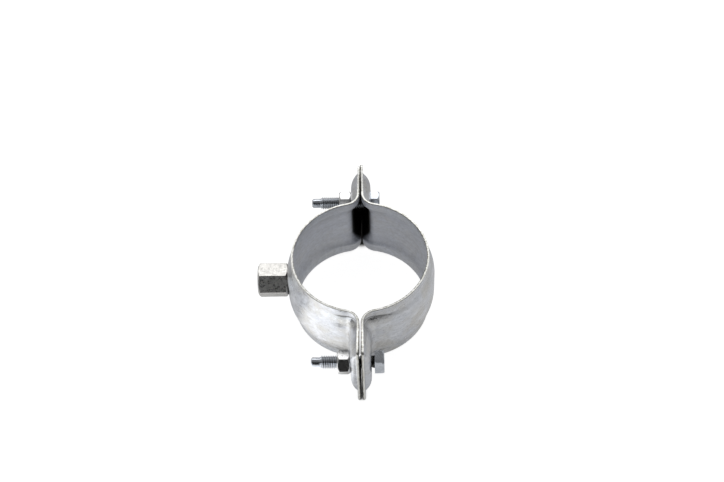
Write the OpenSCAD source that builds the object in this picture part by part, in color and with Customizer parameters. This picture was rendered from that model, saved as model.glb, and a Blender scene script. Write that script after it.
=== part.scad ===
// Two-piece clamp collar for a 60 mm sign post, pressed from galvanised steel strip.
// Two beaded half rings meet ear to ear on the Y axis and are drawn together by two bolts.
// A hexagon nut is welded on the left half, so that a sign bracket or a stud can be screwed in.
// The origin is on the post's axis, halfway up the band, and +Z runs along the post.

/* [Band] */
// Diameter of the post that the collar grips
post_d = 60; // [48:0.5:76]
// Thickness of the steel strip
sheet = 1.2; // [1:0.1:1.6]
// Height of the band round the post
band_h = 35; // [33:0.5:40]
// Width of the slot between the two pairs of ears
slot_w = 1.1; // [0.5:0.1:2]

/* [Bead] */
// How far the bead stands out of the band round the post
bead_ring = 2.4; // [1.8:0.1:2.8]
// How far the bead stands out of the ears
bead_ear = 2.9; // [2.4:0.1:3.2]
// Height of the bead's flat crown
crown_h = 10.4; // [9:0.2:12]
// Radius of the bead's rounded shoulders, above and below the crown
shoulder_r = 15; // [12:0.5:16]

/* [Ears] */
// Distance from the post's axis to the end of an ear
ear_end = 53.6; // [51:0.2:58]
// Height of an ear at its free end, where the strip keeps its full width
ear_h = 37.2; // [36:0.2:40]
// Angle of the band between its middle and each bend into an ear
bend_angle = 78; // [77:0.5:81]
// Distance from the post's axis to where the bead's crown begins to round off
crown_stop = 48.6; // [48:0.1:49]
// Radius of that rounded end
bead_end_r = 3; // [2.5:0.1:3.5]

/* [Bolts] */
// Distance from the post's axis to each clamping bolt
bolt_y = 45.2; // [44:0.1:46]
// Diameter of the bolts' thread
bolt_d = 6; // [5:1:6]
// Length of a bolt under its head
bolt_l = 28; // [24:1:40]
// Length of the plain pilot at a bolt's tip
pilot_l = 4; // [2:0.5:6]
// Diameter of that pilot
pilot_d = 4.4; // [4:0.1:4.8]
// Width across the flats of the bolt heads and nuts
wrench = 10; // [9:1:10]
// Height of a bolt head
head_h = 4.2; // [3:0.1:5]
// Height of a nut
nut_h = 5.8; // [4:0.1:6.5]
// How far the front bolt is backed off, so that its head stands clear of the ear
front_backed_off = 1.4; // [0:0.1:3]
// Turn of the nuts about their bolts
nut_turn = 8; // [0:1:59]
// Turn of the front bolt's head
front_head_turn = -6; // [-30:1:29]
// Turn of the back bolt's head
back_head_turn = 8; // [-30:1:29]

/* [Welded nut] */
// Width across the flats of the welded nut
boss_af = 14; // [12:0.5:16]
// Distance from the post's axis to the free end of the welded nut
boss_end = 47; // [44:0.5:55]
// Diameter of its tapped hole, at the crests of an M8 thread
boss_bore = 6.65; // [6.5:0.05:7]
// Depth of the countersinks at both ends of that hole
boss_lead = 0.8; // [0.5:0.1:1.2]
// Turn of the welded nut about its axis
boss_turn = 6.5; // [0:0.5:59]
// Height of the chamfer round its corners
boss_chamfer = 1; // [0.5:0.1:1.5]
// How far the weld draws its flat foot into the bead's crown
foot_sink = 0.25; // [0.1:0.05:0.5]

/* [Hidden] */

$fn = 96;
zinc = "silver";
plated = "lightgray";

// Clearance of a bolt hole, and how far a cutting shape runs past what it cuts
hole_play = 0.8;
past = 1;

// The band: inside and outside radius, and radius of the bead's crown
band_in = post_d / 2;
band_out = band_in + sheet;
crown_out = band_out + bead_ring;

// The ears: distance from the split plane to their outer face and to the bead's crown
ear_in = slot_w / 2;
ear_out = ear_in + sheet;
ear_crown = ear_out + bead_ear;

// Corner radii of the hexagons, and how their corners are turned down on bolts and nuts
hex_r = wrench / 2 / cos(30);
boss_hex_r = boss_af / 2 / cos(30);
corner_cut = 1.2;
corner_slope = 50;

// Radius of the bend that leaves a ring of radius ring_r at the bend's angle and ends on
// a wall at wall_x, tangent to both, and the place of its axis
function bend_r(ring_r, wall_x) =
    (ring_r * cos(bend_angle) - wall_x) / (1 - cos(bend_angle));
function bend_axis(ring_r, wall_x) =
    (ring_r + bend_r(ring_r, wall_x)) * [cos(bend_angle), -sin(bend_angle), 0];

// A move in two steps, the second a small remainder, so that stretches meet exactly
module shift(v)
{
    coarse = [for (c = v) round(c * 1000) / 1000];
    translate(coarse)
        translate(v - coarse)
            children();
}

// A profile carried round a half ring, round both bends and out past the ears' ends.
// The profile is drawn with x as the depth below the outer skin and y as the height.
module half_path(ring_r, wall_x)
{
    corner = bend_axis(ring_r, wall_x);
    rotate_extrude(angle = 2 * bend_angle, start = -bend_angle)
        translate([ring_r, 0])
            mirror([1, 0])
                children();
    for (side = [0, 1])
        mirror([0, side, 0]) {
            shift(corner)
                rotate_extrude(angle = bend_angle, start = 180 - bend_angle)
                    shift([bend_r(ring_r, wall_x), 0])
                        children();
            shift([wall_x, corner[1], 0])
                rotate([90, 0, 0])
                    linear_extrude(ear_end)
                        mirror([1, 0])
                            children();
        }
}

// The bead's outline, from its crown down to a depth, set in by the given amount
module bead_profile(inset, depth)
{
    intersection() {
        translate([inset, -band_h / 2])
            square([depth - inset, band_h]);
        union() {
            translate([inset, -crown_h / 2])
                square([depth, crown_h]);
            for (side = [-1, 1])
                translate([shoulder_r, side * crown_h / 2])
                    circle(r = shoulder_r - inset);
        }
    }
}

// The plan of the bead, with its rounded ends on the ears, set in by the given amount
module bead_plan(inset)
{
    translate([-past, -crown_stop])
        square([crown_out + 2 * past, 2 * crown_stop]);
    for (y = [-crown_stop, crown_stop]) {
        translate([ear_crown - bead_end_r, y])
            circle(r = bead_end_r - inset);
        translate([-past, y - bead_end_r + inset])
            square([ear_crown - bead_end_r + past, 2 * (bead_end_r - inset)]);
    }
}

// The bead as a solid bar along the strip, set in by the given amount
module bead_bar(inset, depth)
{
    intersection() {
        half_path(crown_out, ear_crown)
            bead_profile(inset, depth);
        translate([0, 0, -band_h / 2])
            linear_extrude(band_h)
                bead_plan(inset);
    }
}

// The plain strip: the band, its bends and the ears, which widen a little to their ends
module strip()
{
    flare_y = ceil(-bend_axis(band_out, ear_out)[1]);
    intersection() {
        union() {
            half_path(band_out, ear_out)
                translate([0, -band_h / 2])
                    square([sheet, band_h]);
            for (side = [0, 1])
                mirror([0, side, 0])
                    translate([ear_in, 0, 0])
                        rotate([90, 0, 90])
                            linear_extrude(sheet)
                                polygon([[-flare_y, -band_h / 2], [-ear_end, -ear_h / 2],
                                         [-ear_end, ear_h / 2], [-flare_y, band_h / 2]]);
        }
        translate([-past, -ear_end, -ear_h])
            cube([crown_out, 2 * ear_end, 2 * ear_h]);
    }
}

// One pressed half, on the +X side
module half_ring()
{
    difference() {
        union() {
            strip();
            bead_bar(0, bead_ring + sheet / 2);
        }
        bead_bar(sheet, bead_ear + sheet + past);
        for (y = [-bolt_y, bolt_y])
            translate([0, y, 0])
                rotate([0, 90, 0])
                    cylinder(d = bolt_d + hole_play, h = ear_crown + past);
    }
}

// A hexagon along Z whose corners are turned down to a cone at one or both ends.
// The slope is the cone's angle to the hexagon's end face.
module chamfered_hex(corner_r, height, low_cut, high_cut, slope = 45)
{
    rise = tan(slope);
    intersection() {
        cylinder(r = corner_r, h = height, $fn = 6);
        rotate_extrude()
            polygon([[0, 0], [corner_r - low_cut / rise, 0], [corner_r, low_cut],
                     [corner_r, height - high_cut],
                     [corner_r - high_cut / rise, height], [0, height]]);
    }
}

// A hole along Z from z = 0 to z = depth, widened by a 45 degree cone at both ends
module countersunk_bore(r, depth, lead)
{
    rotate_extrude()
        polygon([[0, -past], [r + lead + past, -past], [r, lead], [r, depth - lead],
                 [r + lead + past, depth + past], [0, depth + past]]);
}

module half_ring_plain()
{
    color(zinc)
        half_ring();
}

module half_ring_boss()
{
    color(zinc)
        mirror([1, 0, 0])
            half_ring();
}

module boss_nut()
{
    foot_cut = 0.8;
    color(zinc)
        difference() {
            translate([-boss_end, 0, 0])
                rotate([0, 90, 0])
                    rotate([0, 0, 90 - boss_turn])
                        chamfered_hex(boss_hex_r, boss_end - crown_out + foot_sink,
                                      boss_chamfer, foot_cut, 30);
            mirror([1, 0, 0])
                bead_bar(0, bead_ring + sheet);
            translate([-boss_end, 0, 0])
                rotate([0, 90, 0])
                    countersunk_bore(boss_bore / 2, boss_end - crown_out, boss_lead);
        }
}

// A hexagon bolt with its head's underside at x = 0 and its shank towards -X
module bolt(head_turn)
{
    thread_l = bolt_l - pilot_l;
    tip_cut = 0.6;
    rotate([0, -90, 0])
        rotate_extrude()
            polygon([[0, -head_h / 2], [bolt_d / 2, -head_h / 2],
                     [bolt_d / 2, thread_l - (bolt_d - pilot_d) / 2],
                     [pilot_d / 2, thread_l],
                     [pilot_d / 2, bolt_l - tip_cut],
                     [pilot_d / 2 - tip_cut, bolt_l], [0, bolt_l]]);
    rotate([0, 90, 0])
        rotate([0, 0, 90 - head_turn])
            chamfered_hex(hex_r, head_h, 0, corner_cut, corner_slope);
}

// A hexagon nut whose bearing face is at x = 0 and whose body lies towards -X
module nut()
{
    rotate([0, -90, 0])
        difference() {
            rotate([0, 0, 90 + nut_turn])
                chamfered_hex(hex_r, nut_h, corner_cut, corner_cut, corner_slope);
            countersunk_bore(bolt_d / 2, nut_h, 0.4);
        }
}

module bolt_front()
{
    color(plated)
        translate([ear_crown + front_backed_off, -bolt_y, 0])
            bolt(front_head_turn);
}

module bolt_back()
{
    color(plated)
        translate([ear_crown, bolt_y, 0])
            bolt(back_head_turn);
}

module nut_front()
{
    color(plated)
        translate([-ear_crown, -bolt_y, 0])
            nut();
}

module nut_back()
{
    color(plated)
        translate([-ear_crown, bolt_y, 0])
            nut();
}

half_ring_boss();
half_ring_plain();
boss_nut();
bolt_front();
bolt_back();
nut_front();
nut_back();
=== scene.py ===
# %% [markdown]
# # A clamp collar for a round sign post
#
# The collar grips a 60 mm post. Two half rings are pressed from galvanised steel strip, and two
# bolts draw them together. A hexagon with a thread in it is welded on one half, for a bracket.
#
# The solids of the collar were made before, in CAD, and they are loaded here as a fixed frame.
# This script dresses them: it makes each piece once more with the detail that a solid leaves out,
# such as rolled edges, real threads and turned chamfers, and gives each its own metal finish.

# %% Load the collar's solids
import math

import bmesh
import bpy
from mathutils import Matrix, Vector


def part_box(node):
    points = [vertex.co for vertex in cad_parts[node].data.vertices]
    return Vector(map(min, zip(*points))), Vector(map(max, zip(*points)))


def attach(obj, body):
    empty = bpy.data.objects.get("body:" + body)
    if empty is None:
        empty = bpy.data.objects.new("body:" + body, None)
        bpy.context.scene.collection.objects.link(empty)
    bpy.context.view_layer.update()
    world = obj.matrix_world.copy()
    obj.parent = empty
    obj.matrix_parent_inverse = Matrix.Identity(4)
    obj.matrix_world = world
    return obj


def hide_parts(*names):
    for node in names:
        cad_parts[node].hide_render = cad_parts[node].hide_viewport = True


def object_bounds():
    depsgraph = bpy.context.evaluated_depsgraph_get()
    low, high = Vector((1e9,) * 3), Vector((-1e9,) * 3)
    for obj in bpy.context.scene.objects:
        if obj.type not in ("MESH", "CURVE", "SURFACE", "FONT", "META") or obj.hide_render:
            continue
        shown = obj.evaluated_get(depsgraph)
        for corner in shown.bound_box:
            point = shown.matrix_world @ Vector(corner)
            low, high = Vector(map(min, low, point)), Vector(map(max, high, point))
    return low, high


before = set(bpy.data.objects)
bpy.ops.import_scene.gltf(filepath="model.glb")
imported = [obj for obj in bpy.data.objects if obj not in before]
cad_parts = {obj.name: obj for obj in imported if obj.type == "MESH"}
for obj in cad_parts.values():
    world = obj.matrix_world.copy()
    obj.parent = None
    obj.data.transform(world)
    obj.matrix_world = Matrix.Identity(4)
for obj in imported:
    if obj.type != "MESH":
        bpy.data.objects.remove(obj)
cad_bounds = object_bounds()
mm = 0.001

# %% [markdown]
# ## Where the camera stands
#
# The photograph looks down on the collar at 52 degrees, through a fairly long lens. A camera could
# be aimed by eye, but its place was worked out from the picture: the rims of the two rings are
# circles of a known size, so they tell the height, the distance and the lens together. The aim
# is given as three turns, and the camera's own axes are built from them.

# %% Camera at the photograph's view
looks_down = math.radians(51.975)
turned_left = math.radians(-1.763)
tilted = math.radians(-2.242)
distance = 600 * mm
aimed_at = Vector((1.11, 0, 28.07)) * mm
focal_px, picture_width_px = 1356.7, 724
sensor_width_mm = 36

forward = Vector((math.sin(turned_left) * math.cos(looks_down),
                  math.cos(turned_left) * math.cos(looks_down), -math.sin(looks_down)))
level = Vector((math.cos(turned_left), -math.sin(turned_left), 0))
upright = level.cross(forward)
camera_x = math.cos(tilted) * level + math.sin(tilted) * upright
camera_y = -math.sin(tilted) * level + math.cos(tilted) * upright

camera_data = bpy.data.cameras.new("photograph_view")
camera_data.sensor_width = sensor_width_mm
camera_data.sensor_fit = "HORIZONTAL"
camera_data.lens = focal_px / picture_width_px * sensor_width_mm
camera_data.clip_start = 0.01
camera = bpy.data.objects.new("photograph_view", camera_data)
bpy.context.scene.collection.objects.link(camera)
turn = Matrix((camera_x, camera_y, -forward)).transposed().to_4x4()
camera.matrix_world = Matrix.Translation(aimed_at - distance * forward) @ turn
bpy.context.scene.camera = camera
print("lens", round(camera_data.lens, 1), "mm, camera at", [round(v, 3) for v in camera.location])

# %% [markdown]
# ## The strip's sizes
#
# A half ring is one strip of 1.2 mm sheet. A wide bead is pressed along its middle for stiffness.
# The strip goes 156 degrees round the post, bends out at both ends into ears, and the bead runs
# through the bends and stops short of the ears' tips. These are the source's own values.

# %% Values of the strip
sheet = 1.2 * mm
band_out = 31.2 * mm
half_height, half_height_at_tip = 17.5 * mm, 18.6 * mm
bead_on_ring, bead_on_ear = 2.4 * mm, 2.9 * mm
crown_half = 5.2 * mm
shoulder_r = 15 * mm
ear_out = 1.75 * mm
ear_tip = 53.6 * mm
bead_stop, bead_end_r = 48.6 * mm, 3 * mm
bolt_y, hole_r = 45.2 * mm, 3.4 * mm

bend_at = math.radians(78)
bend_r = (band_out * math.cos(bend_at) - ear_out) / (1 - math.cos(bend_at))
bend_axis = (band_out + bend_r) * Vector((math.cos(bend_at), -math.sin(bend_at), 0))
ring_run = band_out * bend_at
bend_run = bend_r * bend_at
ear_from = ring_run + bend_run
half_length = ear_from + ear_tip + bend_axis.y
hole_at = ear_from + bolt_y + bend_axis.y
print("flat strip", round(2 * half_length / mm, 1), "x", 2 * half_height / mm, "mm, bend radius",
      round(bend_r / mm, 2), "mm")

# %% [markdown]
# ## A flat blank first
#
# The real half ring starts as a flat blank that is punched and then pressed. The same order works
# here. A single face is scaled to the blank's size and its corners are rounded. Score lines are
# then cut across it with bisect_plane, close together where the press will bend it sharply and
# wide apart where it stays flat. A curved shape made from a flat one keeps even, clean faces, and
# the holes come out round without a Boolean.

# %% Cut the blank and score it
def score(bm, direction, places):
    """Cuts a line across the blank at each place along a direction."""
    for place in places:
        bmesh.ops.bisect_plane(bm, geom=bm.verts[:] + bm.edges[:] + bm.faces[:], dist=1e-7,
                               plane_co=direction * place, plane_no=direction)


def steps(start, end, count):
    """Evenly spaced places after start, up to and with end."""
    return [start + (end - start) * (i + 1) / count for i in range(count)]


corner_r = 1.2 * mm
window = 4 * mm
foot_on_ring = crown_half + math.sqrt(shoulder_r**2 - (shoulder_r - bead_on_ring)**2)
stop_at = ear_from + bead_stop + bend_axis.y
bead_end_at = stop_at + bead_end_r

lines = steps(0, ring_run, 40) + steps(ring_run, ear_from, 16)
lines += steps(ear_from, hole_at - window, 6) + steps(hole_at - window, hole_at + window, 10)
before_bead_end = (2.1, 1.6, 1.2, 0.85, 0.55, 0.3, 0.12, 0, -0.15, -0.35)
lines += [bead_end_at - d * mm for d in before_bead_end]
near_foot = (0.15, 0.35, 0.6, 0.95, 1.4, 1.9)
rows = steps(0, window, 4) + steps(window, crown_half, 1)
rows += steps(crown_half, foot_on_ring - near_foot[-1] * mm, 7) + [foot_on_ring]
rows += [foot_on_ring + side * d * mm for side in (-1, 1) for d in near_foot]
rows += [foot_on_ring + 2.5 * mm]


def flat_blank(short=0):
    """The blank, lengthways along X and with its outer skin up, before the holes are punched.
    It is short at the end that becomes the back ear."""
    bm = bmesh.new()
    bmesh.ops.create_grid(bm, x_segments=1, y_segments=1, size=1)
    bmesh.ops.scale(bm, vec=(half_length, half_height, 1), verts=bm.verts)
    back_end = [v for v in bm.verts if v.co.x < 0]
    bmesh.ops.translate(bm, vec=(short, 0, 0), verts=back_end)
    bmesh.ops.bevel(bm, geom=bm.verts[:], offset=corner_r, offset_type="OFFSET", segments=4,
                    profile=0.5, affect="VERTICES", material=-1)
    score(bm, Vector((1, 0, 0)), [0] + lines + [-s for s in lines])
    score(bm, Vector((0, 1, 0)), [0] + rows + [-h for h in rows])
    bmesh.ops.remove_doubles(bm, verts=bm.verts[:], dist=0.03 * mm)
    return bm


trial = flat_blank()
print("blank:", len(trial.faces), "faces")
trial.free()

# %% [markdown]
# ## Punching the bolt holes
#
# A square window of faces is taken out round each hole's centre, and a circle with as many points
# as the window's edge is put in its place. Bridging the two loops closes the gap with a ring of
# tidy faces. Cutting a cylinder away would work as well, but it leaves thin, uneven faces.

# %% Punch a hole in the blank
def punch(bm, centre_x):
    inside = [f for f in bm.faces if abs(f.calc_center_median().x - centre_x) < window
              and abs(f.calc_center_median().y) < window]
    bmesh.ops.delete(bm, geom=inside, context="FACES")
    reach = window + 0.01 * mm
    rim = [e for e in bm.edges if e.is_boundary
           and all(abs(v.co.x - centre_x) < reach and abs(v.co.y) < reach for v in e.verts)]
    circle = bmesh.ops.create_circle(bm, cap_ends=False, segments=len(rim), radius=hole_r,
                                     matrix=Matrix.Translation((centre_x, 0, 0)))
    hole = {e for v in circle["verts"] for e in v.link_edges}
    bmesh.ops.bridge_loops(bm, edges=rim + list(hole))


trial = flat_blank()
for side in (-1, 1):
    punch(trial, side * hole_at)
print("punched:", len(trial.faces), "faces")
trial.free()

# %% [markdown]
# ## The press
#
# One rule moves each point of the blank to its place on the half ring. The first part gives the
# bead: how far a point rises, from its height on the strip and its distance along it. The flat
# crown falls away over two large shoulders, and a small fillet runs where they meet the plain
# strip. The second part walks the strip's outer skin round the post, through a bend and out along
# an ear, and says which way is outwards there. A profile that is spun round the post would give
# the ring too, but not a bead that deepens through the bends and dies out rounded in the ears.

# %% How far the bead rises
def eased(share):
    """0 to 1 with a gentle start and end."""
    share = min(max(share, 0), 1)
    return share * share * (3 - 2 * share)


front_lean_mm, back_lean_mm = (0.27, 0.04), (0.2, 0.545)
lean_end = half_length - 2 * mm


def lean(along):
    """How far an ear leans in to the slot. The front ears nearly meet at the ring and open
    towards their tips. The back ears, which their bolt draws tight, nearly meet at their tips."""
    into_ear = eased((abs(along) - ring_run + 4 * mm) / (8 * mm))
    to_tip = min(max(abs(along) - ear_from, 0) / (lean_end - ear_from), 1)
    at_ring, at_tip = front_lean_mm if along > 0 else back_lean_mm
    return into_ear * (at_ring + (at_tip - at_ring) * to_tip) * mm


def bead_depth(along):
    """The crown stays at the solid's own height, so the bead deepens where the ear leans in."""
    on_ear = eased((abs(along) - ring_run) / bend_run)
    return bead_on_ring + (bead_on_ear - bead_on_ring) * on_ear + lean(along)


broader_on_ear = 2 * mm


def bead_section(along):
    """Half the crown's height, the shoulders' radius, and the height where a shoulder meets the
    plain strip. The crown is broader on the ears, where the press left it fuller."""
    depth = bead_depth(along)
    foot = crown_half + math.sqrt(shoulder_r**2 - (shoulder_r - depth)**2)
    flat = crown_half + broader_on_ear * eased((abs(along) - ring_run + 3 * mm) / (9 * mm))
    return flat, ((foot - flat)**2 + depth**2) / (2 * depth), foot


def fillet_at(along):
    """Soft along the ring, and crisp where the strip is bent."""
    return (0.2 + 0.7 * eased((ring_run - 3 * mm - abs(along)) / (12 * mm))) * mm


def bead_rise(along, height, end_r):
    """How far a point stands out of the plain strip. The fall over a shoulder and the fall at the
    bead's rounded end are blended by their cubes, and the last bit is eased by the fillet."""
    flat, radius, _ = bead_section(along)
    over = min(max(abs(height) - flat, 0), 0.97 * radius)
    fall = radius - math.sqrt(radius**2 - over**2)
    fillet = fillet_at(along)
    past_stop = min(max(abs(along) - (bead_end_at - end_r), 0) / end_r, 1)
    end_fall = (bead_depth(along) + fillet) * (1 - math.sqrt(1 - past_stop**2))
    rise = bead_depth(along) - (fall**3 + end_fall**3)**(1 / 3)
    if rise < fillet:
        rise = max(rise + fillet, 0)**2 / (4 * fillet)
    return rise


print("rise at the crown, on a shoulder and past the foot:",
      [round(bead_rise(0.001 * mm, h * mm, bead_end_r) / mm, 2) for h in (0, 10, 15)], "mm")

# %% Walk along the strip
def skin(along):
    """A point on the plain strip's outer skin, and the way outwards there, for the +X half."""
    side = 1 if along > 0 else -1
    far = abs(along)
    round_post = min(far, ring_run) / band_out
    back = min(max(far - ring_run, 0), bend_run) / bend_r
    out = Vector((math.cos(round_post - back), -math.sin(round_post - back), 0))
    if back:
        point = bend_axis - bend_r * out
        point.y -= max(far - ear_from, 0)
    else:
        point = band_out * out
    point.x -= lean(along)
    point.y *= side
    out.y *= side
    return point, out


for place in (0, ring_run, ear_from, half_length, -half_length):
    print("at", round(place / mm, 1), "mm:", [round(v / mm, 2) for v in skin(place)[0]])

# %% Press the blank into a half ring
def press(bm, back_end_r):
    """Moves every point of the blank. Its place on the flat strip is kept for the finish. The
    marks tell which heights of the blank go to which heights of the strip."""
    on_strip = bm.verts.layers.float_vector.new("on_strip")
    for v in bm.verts:
        along, height = v.co.x, v.co.y
        v[on_strip] = (along, height, 0)
        flat, _, foot = bead_section(along)
        flare = eased((abs(along) - ear_from) / (half_length - ear_from))
        edge = half_height + flare * (half_height_at_tip - half_height)
        marks = ((0, 0), (window, window), (crown_half, flat), (foot_on_ring, foot),
                 (half_height, edge))
        for (low, new_low), (high, new_high) in zip(marks, marks[1:]):
            if low <= abs(height) <= high + 1e-9:
                share = (abs(height) - low) / (high - low)
                level = new_low + share * (new_high - new_low)
                break
        point, out = skin(along)
        end_r = bead_end_r if along > 0 else back_end_r
        v.co = point + out * bead_rise(along, level, end_r)
        v.co.z = math.copysign(level, height)


def half_ring(mirrored, back_end_r, short):
    """The outer skin of one half. Its middle has to face away from the post."""
    bm = flat_blank(short)
    for side in (-1, 1):
        punch(bm, side * hole_at)
    press(bm, back_end_r)
    if mirrored:
        bmesh.ops.scale(bm, vec=(-1, 1, 1), verts=bm.verts)
    bm.normal_update()
    middle = min(bm.faces, key=lambda f: f.calc_center_median().yz.length)
    if middle.normal.x * middle.calc_center_median().x < 0:
        bmesh.ops.reverse_faces(bm, faces=bm.faces[:])
    bm.normal_update()
    return bm


trial = half_ring(False, bead_end_r, 0)
print("pressed skin:", len(trial.faces), "faces, crown out to",
      round(max(v.co.x for v in trial.verts) / mm, 2), "mm")
trial.free()

# %% [markdown]
# ## Sheet thickness and rolled edges
#
# The skin becomes sheet when its faces are extruded and the copy sinks inwards by the thickness,
# each point along its own normal. The solidify operator does the same in one step, but at a tiny
# face in a rounded corner it can throw a spike. Sheared and galvanised edges are never razor
# sharp, and a thin highlight runs along them, so the rim is bevelled by a fifth of the sheet. The
# cut faces get a finish of their own.

# %% Give the skin its thickness
edge_roll = 0.22 * mm
# Painted shade: how dark the colour is made along each bend's crease, how wide that line is, and
# how dark the bead's tunnel is made.
crease_shade, crease_width = 0.85, 0.4 * mm
tunnel_shade = 0.97


def painted_shade_at(along, height, inside):
    """How much painted shade a point gets. Outside, a line of painted shade follows the crease at
    each bend. Inside, the bead's tunnel through an ear is painted dark, less so near its mouth and
    its foot."""
    _, _, foot = bead_section(along)
    if not inside:
        near_bend = eased((abs(along) - ring_run + 6 * mm) / (4 * mm))
        near_bend *= 1 - eased((abs(along) - ear_from) / (6 * mm))
        return crease_shade * near_bend * math.exp(-((abs(height) - foot) / crease_width)**2)
    mouth = ring_run + 0.45 * bend_run + 0.5 * max(abs(height) - 6.5 * mm, 0)
    return tunnel_shade * eased((abs(along) - mouth + 1.5 * mm) / (3 * mm))


def thicken(bm):
    """Adds the inner skin. The third part of on_strip goes from 0 outside to 1 inside."""
    on_strip = bm.verts.layers.float_vector["on_strip"]
    outwards = bm.verts.layers.float_vector.new("outwards")
    painted_shade = bm.verts.layers.float.new("painted_shade")
    for v in bm.verts:
        v[outwards] = v.normal
    grown = bmesh.ops.extrude_face_region(bm, geom=bm.faces[:], use_keep_orig=True)["geom"]
    for v in (g for g in grown if isinstance(g, bmesh.types.BMVert)):
        v[on_strip].z = 1
        v.co -= v[outwards] * sheet
    # Each point gets its painted shade, dark in the creases and in the tunnel.
    for v in bm.verts:
        v[painted_shade] = painted_shade_at(v[on_strip].x, v[on_strip].y, v[on_strip].z > 0.5)
    bm.verts.layers.float_vector.remove(outwards)
    bmesh.ops.recalc_face_normals(bm, faces=bm.faces[:])
    for face in bm.faces:
        face.smooth = True
        depths = [v[on_strip].z for v in face.verts]
        face.material_index = 1 if min(depths) < 0.5 < max(depths) else 0
    rims = [e for e in bm.edges if len({f.material_index for f in e.link_faces}) == 2]
    bmesh.ops.bevel(bm, geom=rims, offset=edge_roll, offset_type="OFFSET", segments=3,
                    profile=0.5, affect="EDGES", material=-1)
    bm.normal_update()


def piece_from(bm, name, node, finishes):
    """Makes the shape an object that stands for a CAD node and takes its finishes. Where a bevel
    passes the collar's own box by a few microns, it is trimmed back to it."""
    for v in bm.verts:
        v.co = [min(max(c, low), high) for c, low, high in zip(v.co, *cad_bounds)]
    mesh = bpy.data.meshes.new(name)
    bm.to_mesh(mesh)
    bm.free()
    for finish in finishes:
        mesh.materials.append(finish)
    piece = bpy.data.objects.new(name, mesh)
    bpy.context.scene.collection.objects.link(piece)
    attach(piece, "root")
    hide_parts(node)
    low, high = (Vector(piece.bound_box[i]) / mm for i in (0, 6))
    print(name, len(mesh.polygons), "faces,", [round(v, 2) for v in low], "to",
          [round(v, 2) for v in high])
    return piece


# %% [markdown]
# ## A shorthand for shader nodes
#
# A finish is a small network of nodes. Each could be placed by a handful of lines that make a node,
# set it and link it. One helper does all three, so that a finish reads like a recipe.

# %% Grow a network of nodes
def grow(tree, kind, settings=None, feeds=None):
    """Adds a node. settings are its own properties. A feed is a value or a socket to link from."""
    new = tree.nodes.new("ShaderNode" + kind)
    for name, value in (settings or {}).items():
        setattr(new, name, value)
    for name, feed in (feeds or {}).items():
        if isinstance(feed, bpy.types.NodeSocket):
            tree.links.new(feed, new.inputs[name])
        else:
            new.inputs[name].default_value = feed
    return new


def sum_up(tree, operation, first, second):
    """One step of arithmetic on two values or sockets."""
    return grow(tree, "Math", {"operation": operation}, {0: first, 1: second}).outputs[0]


def fade(tree, feed, low, high, at_low=0, at_high=1):
    """A smooth change from at_low to at_high while feed goes from low to high."""
    return grow(tree, "MapRange", {"interpolation_type": "SMOOTHSTEP"},
                {"Value": feed, "From Min": low, "From Max": high, "To Min": at_low,
                 "To Max": at_high}).outputs["Result"]


def patches(tree, place, size, detail=4, stretch=(1, 1, 1), shift=0):
    """Soft cloudy patches of about that size, from 0 to 1. A stretch above 1 draws them out."""
    scale = [1 / (size * s) for s in stretch]
    moved = grow(tree, "Mapping", None, {"Vector": place, "Location": (shift, shift, shift),
                                         "Scale": scale})
    return grow(tree, "TexNoise", None, {"Vector": moved.outputs[0], "Scale": 1.0,
                                         "Detail": detail, "Roughness": 0.6}).outputs[0]


def blend(tree, share, first, second):
    """A colour between two colours."""
    mix = grow(tree, "Mix", {"data_type": "RGBA"}, {0: share, 6: first, 7: second})
    return mix.outputs[2]


print("helpers for finishes are ready")

# %% [markdown]
# ## Galvanised strip
#
# Hot zinc sets on the steel as a thin skin of crystals. It is a cool grey that is cloudy at two
# scales, patches as wide as a finger and a mottle of a millimetre or two, with faint streaks along
# the strip from the rolls it went through. Handling gives it small dents, which a bump shows best,
# because it bends the reflections that make metal look like metal. The pattern reads each point's
# place on the flat strip, so that it bends round with the sheet, and the inner skin reads it some
# way off, so that it has clouds of its own. Inside, where nothing rubs it, the zinc is paler and
# duller, with flatter dents. Shade is painted into the colour of the hollows where it falls: the
# creases at the bends and the tunnel of the bead are darkened.

# %% Finish of the strip
def metal(name, rough):
    """A bare metal finish, its network and its shader."""
    finish = bpy.data.materials.new(name)
    finish.use_nodes = True
    shader = finish.node_tree.nodes["Principled BSDF"]
    shader.inputs["Metallic"].default_value = 1
    shader.inputs["Roughness"].default_value = rough
    return finish, finish.node_tree, shader


def feed_shader(tree, shader, colour, rough, height, depth):
    """Links the colour, the roughness and a bump whose full height is depth."""
    bump = grow(tree, "Bump", None, {"Height": height, "Distance": depth, "Strength": 1.0})
    tree.links.new(colour, shader.inputs["Base Color"])
    tree.links.new(rough, shader.inputs["Roughness"])
    tree.links.new(bump.outputs[0], shader.inputs["Normal"])


cool_zinc, warm_zinc = (0.58, 0.6, 0.64, 1), (0.56, 0.555, 0.54, 1)
pale_zinc, inside_zinc = (0.74, 0.755, 0.79, 1), (0.62, 0.635, 0.675, 1)
# The last colour is the dark one that painted shade blends towards.
strip_specks, painted_shade_colour = (0.22, 0.21, 0.18, 1), (0.05, 0.048, 0.04, 1)
inside_blend, inside_brighter, inside_rougher, inside_flatter = 0.65, 1.2, 0.24, 0.35
skins_apart = 50 * mm


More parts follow.
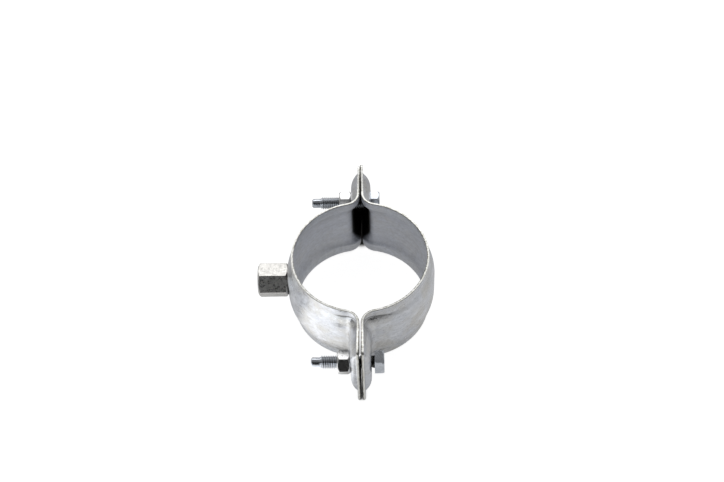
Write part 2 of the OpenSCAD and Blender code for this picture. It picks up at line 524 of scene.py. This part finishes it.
def strip_finish():
    """Each layer is laid over the one before: clouds, the inside, mottle, specks, then painted
    shade.
    """
    finish, tree, shader = metal("galvanised_strip", 0.36)
    strip = grow(tree, "Attribute", {"attribute_name": "on_strip"})
    parts = grow(tree, "SeparateXYZ", None, {0: strip.outputs["Vector"]})
    inside = parts.outputs["Z"]
    place = grow(tree, "Mapping", None,
                 {"Vector": strip.outputs["Vector"], "Scale": (1, 1, skins_apart)}).outputs[0]
    broad = patches(tree, place, 14 * mm, 3)
    cloud = patches(tree, place, 4.5 * mm, 4, (1.6, 1, 1), 3)
    mottle = patches(tree, place, 1.3 * mm, 5, (1.3, 1, 1), 7)
    streak = patches(tree, place, 0.9 * mm, 3, (18, 1, 1), 11)
    speck = patches(tree, place, 0.8 * mm, 3, (2.4, 1, 1), 17)
    colour = blend(tree, fade(tree, broad, 0.38, 0.62), cool_zinc, warm_zinc)
    colour = blend(tree, fade(tree, cloud, 0.42, 0.72), colour, pale_zinc)
    colour = blend(tree, fade(tree, inside, 0, 1, 0, inside_blend), colour, inside_zinc)
    speckle = sum_up(tree, "MULTIPLY", fade(tree, mottle, 0.3, 0.7, 0.86, 1.08),
                     fade(tree, streak, 0.35, 0.65, 0.97, 1.02))
    tone = sum_up(tree, "MULTIPLY", speckle, fade(tree, inside, 0, 1, 1, inside_brighter))
    colour = grow(tree, "Mix", {"data_type": "RGBA", "blend_type": "MULTIPLY"},
                  {0: 1.0, 6: colour, 7: tone}).outputs[2]
    specked = sum_up(tree, "MULTIPLY", fade(tree, speck, 0.62, 0.72, 0, 0.55),
                     fade(tree, inside, 0, 1, 1, 0.3))
    colour = blend(tree, specked, colour, strip_specks)
    # Painted shade: the creases and the bead's tunnel are darkened in the colour.
    painted_shade = grow(tree, "Attribute", {"attribute_name": "painted_shade"}).outputs["Fac"]
    colour = blend(tree, painted_shade, colour, painted_shade_colour)
    rough = sum_up(tree, "ADD", fade(tree, cloud, 0.3, 0.7, 0.27, 0.42),
                   fade(tree, inside, 0, 1, 0, inside_rougher))
    rough = sum_up(tree, "ADD", rough, fade(tree, mottle, 0.3, 0.7, -0.08, 0.08))
    height = sum_up(tree, "ADD", cloud, sum_up(tree, "MULTIPLY", mottle, 0.24))
    height = sum_up(tree, "MULTIPLY", height, fade(tree, inside, 0, 1, 1, inside_flatter))
    feed_shader(tree, shader, colour, rough, height, 0.22 * mm)
    return finish


strip_zinc = strip_finish()
print(strip_zinc.name, len(strip_zinc.node_tree.nodes), "nodes")

# %% [markdown]
# ## Cut edges
#
# The strip was sheared after it was galvanised, so its edges show a torn, slightly olive band of
# steel with zinc smeared over it. It is bright towards the outer skin and dark towards the inner
# one. The third part of on_strip runs across the edge and tells where a point is between the two.

# %% Finish of the cut edges
smeared_zinc, torn_zinc = (0.78, 0.78, 0.76, 1), (0.66, 0.65, 0.60, 1)
torn_steel = (0.15, 0.145, 0.12, 1)


def edge_finish():
    finish, tree, shader = metal("galvanised_cut_edge", 0.34)
    strip = grow(tree, "Attribute", {"attribute_name": "on_strip"})
    across = grow(tree, "SeparateXYZ", None, {0: strip.outputs["Vector"]}).outputs["Z"]
    place = grow(tree, "TexCoord").outputs["Object"]
    torn = patches(tree, place, 0.8 * mm, 4, (1, 1, 3), 2)
    wander = sum_up(tree, "ADD", across, fade(tree, torn, 0.3, 0.7, -0.12, 0.12))
    smear = blend(tree, fade(tree, torn, 0.4, 0.65), smeared_zinc, torn_zinc)
    colour = blend(tree, fade(tree, wander, 0.55, 0.9), smear, torn_steel)
    rough = fade(tree, torn, 0.3, 0.7, 0.3, 0.45)
    feed_shader(tree, shader, colour, rough, torn, 0.04 * mm)
    return finish


cut_edge = edge_finish()
print(cut_edge.name, len(cut_edge.node_tree.nodes), "nodes")

# %% [markdown]
# ## Turned parts
#
# The bolts and nuts are plated thinly with bright zinc, so their fine turning marks still show. The
# welded hexagon is hot-galvanised like the strip, with a coarser skin, and dark specks where the
# zinc didn't take. All three share one recipe with other amounts. The bolts also carry shade
# painted into their threads, which is set on their points when they are made.

# %% Finishes of the turned parts
def turned_finish(name, colour, speck_colour, speck_from, rough, grain, depth):
    """A finish with cloudy zinc, specks above a threshold, and turning marks round the axis."""
    finish, tree, shader = metal(name, rough)
    place = grow(tree, "TexCoord").outputs["Object"]
    cloud = patches(tree, place, 3 * mm, 4, (1, 1, 1), 5)
    fine = patches(tree, place, grain, 5, (1, 1, 1), 9)
    marks = patches(tree, place, 0.16 * mm, 2, (1, 14, 14), 4)
    darker = tuple(0.82 * c for c in colour[:3]) + (1,)
    shown = blend(tree, fade(tree, cloud, 0.35, 0.65), colour, darker)
    shown = blend(tree, fade(tree, fine, speck_from, speck_from + 0.12), shown, speck_colour)
    # Painted shade from the points: darker thread grooves and bolt neck, none on parts without it.
    painted_shade = grow(tree, "Attribute", {"attribute_name": "painted_shade"}).outputs["Fac"]
    shown = blend(tree, painted_shade, shown, painted_shade_colour)
    roughness = sum_up(tree, "ADD", fade(tree, fine, 0.3, 0.7, rough - 0.06, rough + 0.1),
                       fade(tree, marks, 0.35, 0.65, 0, 0.05))
    height = sum_up(tree, "ADD", fine, sum_up(tree, "MULTIPLY", marks, 0.5))
    feed_shader(tree, shader, shown, roughness, height, depth)
    return finish


hexagon_zinc = turned_finish("galvanised_hexagon", (0.59, 0.58, 0.56, 1), (0.42, 0.42, 0.40, 1),
                             speck_from=0.56, rough=0.27, grain=0.9 * mm, depth=0.06 * mm)
screw_zinc = turned_finish("zinc_plated_screw", (0.62, 0.65, 0.70, 1), (0.42, 0.45, 0.5, 1),
                           speck_from=0.62, rough=0.17, grain=0.5 * mm, depth=0.01 * mm)
nut_zinc = turned_finish("zinc_plated_nut", (0.68, 0.68, 0.68, 1), (0.45, 0.45, 0.44, 1),
                         speck_from=0.6, rough=0.15, grain=0.6 * mm, depth=0.02 * mm)
print([m.name for m in (hexagon_zinc, screw_zinc, nut_zinc)])

# %% [markdown]
# ## The two half rings
#
# Both halves come off the same press, so one recipe makes both, and the left one is mirrored. Two
# real pressings are never quite the same, though. The left one ends a little short at the back,
# with a rounder end to its bead, and its finish starts further along the strip, so that the two
# don't show the same clouds.

# %% Make the two half rings
rounder_end_r, shortfall, further_along = 4.2 * mm, 0.9 * mm, 0.4

for name, node, pattern_from, mirrored, back_end_r, short in (
        ("pressed_half_plain", "half_ring_plain", 0, False, bead_end_r, 0),
        ("pressed_half_boss", "half_ring_boss", further_along, True, rounder_end_r, shortfall)):
    shape = half_ring(mirrored, back_end_r, short)
    thicken(shape)
    on_strip = shape.verts.layers.float_vector["on_strip"]
    for v in shape.verts:
        v[on_strip].x += pattern_from
    piece_from(shape, name, node, [strip_zinc, cut_edge])

# %% [markdown]
# ## A real thread
#
# A thread can be faked with a bump pattern, or made by cutting a cone-shaped coil out of a rod.
# Here its section is swept by spin, which moves the section on by a small step along the axis each
# time it turns. After one whole turn every crest meets the next one, so merging the doubles closes
# the tube. The ragged ends are cut square, and limits on the radius turn the lead-in chamfer and
# the run-out, as a lathe would.

# %% Sweep a thread
around = 48
root_hollow, same_place = 0.02 * mm, 0.002 * mm


def thread_tube(start, end, pitch, crest_r, root_r, limits):
    """A thread's surface along +X from start to end, as a tube with open ends. limits gives the
    smallest and largest radius allowed at a place. The section goes from crest to crest, in
    shares of the pitch, over a slightly hollow root."""
    bm = bmesh.new()
    first = math.floor(start / pitch) - 1
    turns = math.ceil(end / pitch) + 1 - first
    section = ((0.06, crest_r), (0.37, root_r + root_hollow), (0.5, root_r),
               (0.63, root_r + root_hollow), (0.94, crest_r))
    points = [bm.verts.new(((first + turn + x) * pitch, 0, r)) for turn in range(turns)
              for x, r in section]
    chain = [bm.edges.new(pair) for pair in zip(points, points[1:])]
    bmesh.ops.spin(bm, geom=points + chain, cent=(0, 0, 0), axis=(1, 0, 0), angle=math.tau,
                   steps=around, dvec=(pitch / around, 0, 0), use_merge=False)
    bmesh.ops.remove_doubles(bm, verts=bm.verts[:], dist=same_place)
    for place, outwards in ((start, -1), (end, 1)):
        bmesh.ops.bisect_plane(bm, geom=bm.verts[:] + bm.edges[:] + bm.faces[:], dist=1e-8,
                               plane_co=(place, 0, 0), plane_no=(outwards, 0, 0), clear_outer=True)
    for v in bm.verts:
        r = math.hypot(v.co.y, v.co.z)
        lowest, highest = limits(v.co.x)
        v.co.yz = v.co.yz * (min(max(r, lowest), highest) / r)
    bmesh.ops.remove_doubles(bm, verts=bm.verts[:], dist=same_place)
    return bm


def open_loop(bm, place):
    """The edges of the open end that lies at a place along X."""
    return [e for e in bm.edges if e.is_boundary
            and all(abs(v.co.x - place) < 0.01 * mm for v in e.verts)]


def carry_on(bm, loop, place, radius):
    """Extrudes an open end to a new place and radius, and returns the new end's edges."""
    grown = bmesh.ops.extrude_edge_only(bm, edges=loop)["geom"]
    for v in (g for g in grown if isinstance(g, bmesh.types.BMVert)):
        v.co.x = place
        v.co.yz = v.co.yz * (radius / math.hypot(v.co.y, v.co.z))
    return [g for g in grown if isinstance(g, bmesh.types.BMEdge)]


m6_crest, m6_root, m6_pitch = 3 * mm, 2.39 * mm, 1 * mm
trial = thread_tube(0, 4 * m6_pitch, m6_pitch, m6_crest, m6_root, lambda x: (0, 1))
print("four turns of thread:", len(trial.faces), "faces, open ends",
      len(open_loop(trial, 0)), "and", len(open_loop(trial, 4 * m6_pitch)), "edges")
trial.free()

# %% [markdown]
# ## Chamfered hexagons
#
# The corners of a nut or a bolt head are turned down to a cone, and each flat ends in a curved
# edge where the cone cuts it. A Boolean of a prism and a cone gives that curve. It is simpler to
# place it straight away: a loop of points goes round the hexagon, and at each point the cone is
# met at a depth that depends only on how far that point is from the axis.

# %% Turn a hexagon
on_each_flat = 8
corner_round, face_step = 0.15 * mm, 0.03 * mm
corner_cut, corner_slope = 1.2 * mm, math.radians(50)
wrench, nut_height = 10 * mm, 5.8 * mm


def flat_radius(angle, across_flats):
    """Distance from the axis to the hexagon's outline, with a corner at angle 0."""
    return across_flats / 2 / math.cos((angle % math.radians(60)) - math.radians(30))


def hexagon(start, end, across_flats, start_cut, end_cut, slope, turned):
    """An open hexagonal tube along +X. A cut is how far the corners are turned down at an end. The
    end face stays a step inside the outline, so that no face there shrinks to nothing."""
    bm = bmesh.new()
    corner = flat_radius(0, across_flats)
    rise = math.tan(slope)
    circle = bmesh.ops.create_circle(bm, cap_ends=False, segments=6 * on_each_flat, radius=1,
                                     matrix=Matrix.Rotation(math.radians(90), 4, "Y"))
    loop = list({e for v in circle["verts"] for e in v.link_edges})
    for number, (place, cut, inwards) in enumerate(
            ((start, start_cut, 0), (start, start_cut, 1), (end, end_cut, -1), (end, end_cut, 0))):
        if number:
            grown = bmesh.ops.extrude_edge_only(bm, edges=loop)["geom"]
            loop = [g for g in grown if isinstance(g, bmesh.types.BMEdge)]
        face_r = corner - cut / rise
        for v in {v for e in loop for v in e.verts}:
            angle = math.atan2(v.co.z, v.co.y)
            r = flat_radius(angle, across_flats)
            x = place + inwards * max(r - face_r, 0) * rise
            if not inwards:
                r = min(face_r, r - face_step)
            v.co = (x, r * math.cos(angle), r * math.sin(angle))
    corners = [e for e in bm.edges if e.calc_length() > 0.5 * (end - start)
               and e.calc_face_angle(0) > math.radians(50)]
    bmesh.ops.bevel(bm, geom=corners, offset=corner_round, offset_type="OFFSET", segments=3,
                    profile=0.5, affect="EDGES", material=-1)
    bmesh.ops.rotate(bm, verts=bm.verts[:], cent=(0, 0, 0),
                     matrix=Matrix.Rotation(turned, 3, "X"))
    return bm


trial = hexagon(0, nut_height, wrench, corner_cut, corner_cut, corner_slope, 0)
print("hexagon:", len(trial.faces), "faces, across corners",
      round(2 * max(math.hypot(v.co.y, v.co.z) for v in trial.verts) / mm, 2), "mm")
trial.free()

# %% [markdown]
# ## Joining turned parts
#
# A bolt, a nut and the welded hexagon are each made of two tubes, the hexagon outside and the
# thread inside. Their open ends lie in the same planes, so bridging them makes the end faces and
# leaves one closed shape. The edges are then broken by a twentieth of a millimetre, because a
# metal edge without any bevel never catches the light.

# %% Join two tubes and finish a turned part
broken_edge, beyond_m6 = 0.05 * mm, 3.3 * mm


def add_to(bm, other):
    """Adds another shape to this one, through a mesh that is thrown away."""
    mesh = bpy.data.meshes.new("passing")
    other.to_mesh(mesh)
    other.free()
    bm.from_mesh(mesh)
    bpy.data.meshes.remove(mesh)


def bridge_at(bm, place):
    """Closes the flat ring between the two open ends that lie at a place."""
    bmesh.ops.bridge_loops(bm, edges=open_loop(bm, place))


def finish_turned(bm, name, node, finishes, place=None):
    """Turns the faces outwards, breaks the edges that lie beyond an M6 thread, and sets the part
    where the CAD node is. The place is given for a part that was built along its own bolt."""
    bmesh.ops.recalc_face_normals(bm, faces=bm.faces[:])
    crisp = [e for e in bm.edges if e.is_manifold and e.calc_face_angle() > math.radians(28)
             and min(math.hypot(v.co.y, v.co.z) for v in e.verts) > beyond_m6]
    bmesh.ops.bevel(bm, geom=crisp, offset=broken_edge, offset_type="OFFSET", segments=2,
                    profile=0.5, affect="EDGES", material=-1)
    if place is not None:
        bmesh.ops.rotate(bm, verts=bm.verts[:], cent=(0, 0, 0),
                         matrix=Matrix.Rotation(math.pi, 3, "Z"))
        bmesh.ops.translate(bm, verts=bm.verts[:], vec=place)
    for face in bm.faces:
        face.smooth = True
    open_edges = sum(not e.is_manifold for e in bm.edges)
    piece = piece_from(bm, name, node, finishes)
    piece.modifiers.new("even_shading", "WEIGHTED_NORMAL").keep_sharp = True
    print("   edges left open:", open_edges)
    return piece


# %% [markdown]
# ## The bolts
#
# Each bolt is a hexagon screw with its thread cut nearly up to the head, and a plain pilot at the
# tip that finds the nut. A bolt is built along +X with its head's underside at zero, then turned
# about and set in the ears. The front one was left unscrewed by 1.4 mm in the photograph. Shade is
# painted into the grooves of the thread, and darkest on the neck under the head, which shows there.

# %% Make the two bolts
bolt_length, thread_end, pilot_r, pilot_chamfer = 28 * mm, 24 * mm, 2.2 * mm, 0.6 * mm
head_height, under_head_cut = 4.2 * mm, 0.15 * mm
dish_rim_r, dish_r, dish_depth = 3.6 * mm, 3.3 * mm, 0.2 * mm
ear_crown, backed_off = 4.65 * mm, 1.4 * mm
runout_from, neck_r, neck_fillet = 0.9 * mm, 2.62 * mm, 0.2 * mm
# How dark the painted shade is in the thread's grooves and on the neck, where the neck ends, and
# from where the thread is left without it.
groove_shade, neck_shade, neck_end, unshaded_from = 0.45, 0.95, 2 * mm, thread_end - 0.7 * mm
front_turned, back_turned = math.radians(-6), math.radians(8)


def bolt_limits(x):
    """The run-out under the head, and the lead-in chamfer down to the pilot."""
    grown = max(x - runout_from, 0)
    return max(neck_r - 0.5 * grown, 0), min(neck_r + 0.7 * grown, pilot_r + thread_end - x)


def bolt(name, node, place, head_turned):
    """A bolt with a shallow dish in the end of its head."""
    bm = thread_tube(runout_from, thread_end, m6_pitch, m6_crest, m6_root, bolt_limits)
    painted_shade = bm.verts.layers.float.new("painted_shade")
    # Painted shade: darker towards the thread's roots, darkest on the neck, none near the thread's
    # end.
    for v in bm.verts:
        in_groove = (m6_crest - math.hypot(v.co.y, v.co.z)) / (m6_crest - m6_root)
        v[painted_shade] = groove_shade * in_groove if v.co.x < unshaded_from else 0
        if v.co.x < neck_end:
            v[painted_shade] = neck_shade
    carry_on(bm, open_loop(bm, runout_from), 0, neck_r + neck_fillet)
    tip = carry_on(bm, open_loop(bm, thread_end), bolt_length - pilot_chamfer, pilot_r)
    tip = carry_on(bm, tip, bolt_length, pilot_r - pilot_chamfer)
    bmesh.ops.edgeloop_fill(bm, edges=tip)
    add_to(bm, hexagon(-head_height, 0, wrench, corner_cut, under_head_cut, corner_slope,
                       head_turned))
    bridge_at(bm, 0)
    rim = carry_on(bm, open_loop(bm, -head_height), -head_height, dish_rim_r)
    rim = carry_on(bm, rim, -head_height + dish_depth, dish_r)
    bmesh.ops.edgeloop_fill(bm, edges=rim)
    return finish_turned(bm, name, node, [screw_zinc], place)


front_bolt_at, back_bolt_at = (ear_crown + backed_off, -bolt_y, 0), (ear_crown, bolt_y, 0)
bolt("screw_front", "bolt_front", front_bolt_at, front_turned)
bolt("screw_back", "bolt_back", back_bolt_at, back_turned)

# %% [markdown]
# ## The nuts
#
# A nut's thread is the bolt's own thread with a hair of play, swept in the same place, so that the
# two really mesh. The countersinks at both faces come from the limits on its radius.

# %% Make the two nuts
nut_lead, play = 0.45 * mm, 0.04 * mm
nut_turned = math.radians(8)


def nut(name, node, seat, place):
    """A nut from its bearing face at seat, in the frame of the bolt that it is on."""
    end = seat + nut_height

    def countersinks(x):
        return m6_crest + nut_lead - min(x - seat, end - x), 1

    bm = thread_tube(seat, end, m6_pitch, m6_crest + play, m6_root + play, countersinks)
    add_to(bm, hexagon(seat, end, wrench, corner_cut, corner_cut, corner_slope, nut_turned))
    bridge_at(bm, seat)
    bridge_at(bm, end)
    return finish_turned(bm, name, node, [nut_zinc], place)


nut("hexnut_front", "nut_front", 2 * ear_crown + backed_off, front_bolt_at)
nut("hexnut_back", "nut_back", 2 * ear_crown, back_bolt_at)

# %% [markdown]
# ## The welded hexagon
#
# It is a short bar of 14 mm hexagon with a thread right through it. Its flat foot is welded on the
# bead's round crown, so a dark wedge of shadow opens beside the weld.

# %% Make the welded hexagon
boss_end, boss_foot, boss_wrench = 47 * mm, 33.35 * mm, 14 * mm
end_cut, foot_cut, cut_slope = 1 * mm, 0.8 * mm, math.radians(30)
boss_turned = math.radians(-6.5)
m8_crest, m8_root, m8_pitch, countersink_r = 4.03 * mm, 3.34 * mm, 1.25 * mm, 4.125 * mm


def boss_countersinks(x):
    return countersink_r - min(x + boss_end, -boss_foot - x), 1


shape = thread_tube(-boss_end, -boss_foot, m8_pitch, m8_crest, m8_root, boss_countersinks)
add_to(shape, hexagon(-boss_end, -boss_foot, boss_wrench, end_cut, foot_cut, cut_slope,
                      boss_turned))
bridge_at(shape, -boss_end)
bridge_at(shape, -boss_foot)
finish_turned(shape, "welded_hexagon", "boss_nut", [hexagon_zinc])

# %% [markdown]
# ## The floor
#
# The collar stands on its ears' tips on a plain white floor. A lamp strong enough to make the
# floor white would bleach the metal. So the floor is a pale grey surface that takes the shadow,
# plus a glow that lifts it to white for the camera and for what looks through glass.

# %% Start the floor's material
floor_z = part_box("half_ring_plain")[0].z
floor_colour, shaded_colour = (0.3, 0.3, 0.3, 1), (0.04, 0.04, 0.04, 1)
glow = 0.955

floor_finish = bpy.data.materials.new("white_floor")
floor_finish.use_nodes = True
tree = floor_finish.node_tree
tree.nodes.clear()
place = grow(tree, "TexCoord").outputs["Object"]
across = grow(tree, "SeparateXYZ", None, {0: place}).outputs


def openness(tree, distance):
    """1 on open floor, less where something stands within that distance."""
    return grow(tree, "AmbientOcclusion", {"samples": 12}, {"Distance": distance}).outputs["AO"]


print("floor at", round(floor_z / mm, 2), "mm")

# %% [markdown]
# ## Shade on the floor
#
# A glowing floor would hide the collar's own shadow, so the glow is taken back where the
# photograph shows shade: inside the ring along its front wall, on the line where the strip meets
# the floor, and under the far slot, through which a bright floor would show. Each of these is a
# share from 0 to 1, and the ambient occlusion node tells where something stands close.

# %% Where the floor is shaded
from_axis = grow(tree, "VectorMath", {"operation": "DISTANCE"}, {0: place, 1: (0, 0, floor_z)})
in_ring = fade(tree, from_axis.outputs["Value"], 28.5 * mm, 30 * mm, 1, 0)
in_front = fade(tree, across["Y"], -14 * mm, -3 * mm, 1, 0)
closed_in = fade(tree, openness(tree, 30 * mm), 0.35, 0.8, 1, 0)
shade = sum_up(tree, "MULTIPLY", sum_up(tree, "MULTIPLY", in_ring, in_front), closed_in)
lit = sum_up(tree, "SUBTRACT", 1.0, sum_up(tree, "MULTIPLY", shade, 0.9))

beside_slot = fade(tree, sum_up(tree, "ABSOLUTE", across["X"], 0), 0.9 * mm, 1.5 * mm)
before_slot = fade(tree, across["Y"], 32 * mm, 35 * mm, 1, 0)
past_slot = fade(tree, across["Y"], 53 * mm, 54.5 * mm)
off_slot = sum_up(tree, "MAXIMUM", beside_slot, sum_up(tree, "MAXIMUM", before_slot, past_slot))
lit = sum_up(tree, "MULTIPLY", lit, off_slot)

clear_of_strip = fade(tree, openness(tree, 4 * mm), 0.22, 0.62)
seen = sum_up(tree, "MULTIPLY", sum_up(tree, "MULTIPLY", lit, clear_of_strip), glow)
print("shade of the floor:", len(tree.nodes), "nodes")

# %% [markdown]
# ## What the metal mirrors of the floor
#
# The metal's lower faces mirror the floor. In the photograph they mirror a dimmer one than the
# white that the camera sees, with a bright wedge towards the low lamp at the left. So glossy rays
# get a glow of their own. It falls off towards the back and close to the collar.

# %% The floor in the mirror
# Painted reflection: glossy rays see a floor glow of their own, dimmer than the camera's white,
# darker close to the collar, with a bright wedge on it.
wedge_aside, wedge_half_width, wedge_opening = 4 * mm, 6 * mm, 0.4

turned = grow(tree, "Mapping", None, {"Vector": place, "Rotation": (0, 0, math.radians(135))})
turned = grow(tree, "SeparateXYZ", None, {0: turned.outputs[0]}).outputs
aside = sum_up(tree, "ABSOLUTE", sum_up(tree, "SUBTRACT", turned["Y"], wedge_aside), 0)
half_width = sum_up(tree, "ADD", wedge_half_width,
                    sum_up(tree, "MULTIPLY", turned["X"], wedge_opening))
in_wedge = sum_up(tree, "MULTIPLY",
                  fade(tree, sum_up(tree, "DIVIDE", aside, half_width), 0.7, 1.2, 1, 0),
                  fade(tree, turned["X"], 25 * mm, 42 * mm))
brightness = sum_up(tree, "ADD", fade(tree, across["Y"], -20 * mm, 90 * mm, 0.58, 0.36),
                    sum_up(tree, "MULTIPLY", in_wedge, 0.85))
mirrored = sum_up(tree, "MULTIPLY", fade(tree, openness(tree, 40 * mm), 0.1, 0.9, 0.5, 1.05),
                  brightness)
print("with its mirror image:", len(tree.nodes), "nodes")

# %% [markdown]
# ## Putting the floor together
#
# Light Path tells what kind of ray meets the floor, so each glow reaches only the rays it is meant
# for. From its back the floor is clear, and the collar can be looked at from below.

# %% Finish the floor's material
path = grow(tree, "LightPath").outputs
plain_view = sum_up(tree, "MAXIMUM", path["Is Camera Ray"], path["Is Transmission Ray"])
strength = sum_up(tree, "ADD", sum_up(tree, "MULTIPLY", plain_view, seen),
                  sum_up(tree, "MULTIPLY", path["Is Glossy Ray"], mirrored))
lift = grow(tree, "Emission", None, {"Strength": strength})
matt = grow(tree, "BsdfDiffuse", None, {"Color": blend(tree, lit, shaded_colour, floor_colour)})
both = grow(tree, "AddShader", None, {0: matt.outputs[0], 1: lift.outputs[0]})
from_below = grow(tree, "NewGeometry").outputs["Backfacing"]
clear = grow(tree, "BsdfTransparent")
paper_side = grow(tree, "MixShader", None, {0: from_below, 1: both.outputs[0], 2: clear.outputs[0]})
grow(tree, "OutputMaterial", None, {"Surface": paper_side.outputs[0]})
print(floor_finish.name, len(tree.nodes), "nodes")

# %% Lay the floor
floor_r = 4
bm = bmesh.new()
bmesh.ops.create_circle(bm, cap_ends=True, segments=96, radius=floor_r)
bmesh.ops.translate(bm, verts=bm.verts[:], vec=(0, 0, floor_z))
floor_mesh = bpy.data.meshes.new("floor")
bm.to_mesh(floor_mesh)
bm.free()
floor_mesh.materials.append(floor_finish)
floor = bpy.data.objects.new("floor", floor_mesh)
bpy.context.scene.collection.objects.link(floor)
print("the floor reaches", floor_r, "m out")

# %% [markdown]
# ## Light
#
# Bright metal shows its surroundings more than its own colour, so the lamps are placed for what
# they look like in it. In the photograph the top faces and the left side mirror something bright,
# and the faces that look a little downwards from the camera mirror a dark room. So there is a broad
# lamp behind and above, and a cooler one low at the left.

# %% Lamps
def softbox(name, place, aim, size, brightness, colour=(1, 1, 1)):
    """A soft lamp. brightness is how white its face is, where 1 is white paper."""
    data = bpy.data.lights.new(name, "AREA")
    data.shape = "RECTANGLE"
    data.size, data.size_y = size
    data.energy = brightness * math.pi * size[0] * size[1]
    data.color = colour
    lamp = bpy.data.objects.new(name, data)
    bpy.context.scene.collection.objects.link(lamp)
    lamp.location = place
    lamp.rotation_euler = (Vector(aim) - Vector(place)).to_track_quat("-Z", "Y").to_euler()
    return lamp


post_middle = (0, 0, 0)
softbox("lamp_behind", (0, 0.66, 0.55), post_middle, size=(1.1, 0.45), brightness=1.55)
softbox("lamp_left", (-0.52, -0.5, 0.1), post_middle, size=(0.45, 0.3), brightness=2.3,
        colour=(0.92, 0.96, 1))

# %% [markdown]
# ## The room round it
#
# The world is what the metal mirrors beyond the lamps. It is a dark room in front, paler behind,
# with a grey ceiling.

# %% The world
front_grey, back_grey, ceiling_grey = 0.025, 0.55, (0.22, 0.22, 0.22, 1)

world = bpy.data.worlds.new("room")
bpy.context.scene.world = world
world.use_nodes = True
tree = world.node_tree
direction = grow(tree, "SeparateXYZ", None, {0: grow(tree, "TexCoord").outputs["Generated"]})
walls = fade(tree, direction.outputs["Y"], -0.5, 0.5, front_grey, back_grey)
ceiling = fade(tree, direction.outputs["Z"], 0.8, 0.92)
room = blend(tree, ceiling, walls, ceiling_grey)
tree.links.new(room, tree.nodes["Background"].inputs["Color"])
bpy.context.scene.view_settings.view_transform = "Standard"
print(world.name, len(tree.nodes), "nodes")
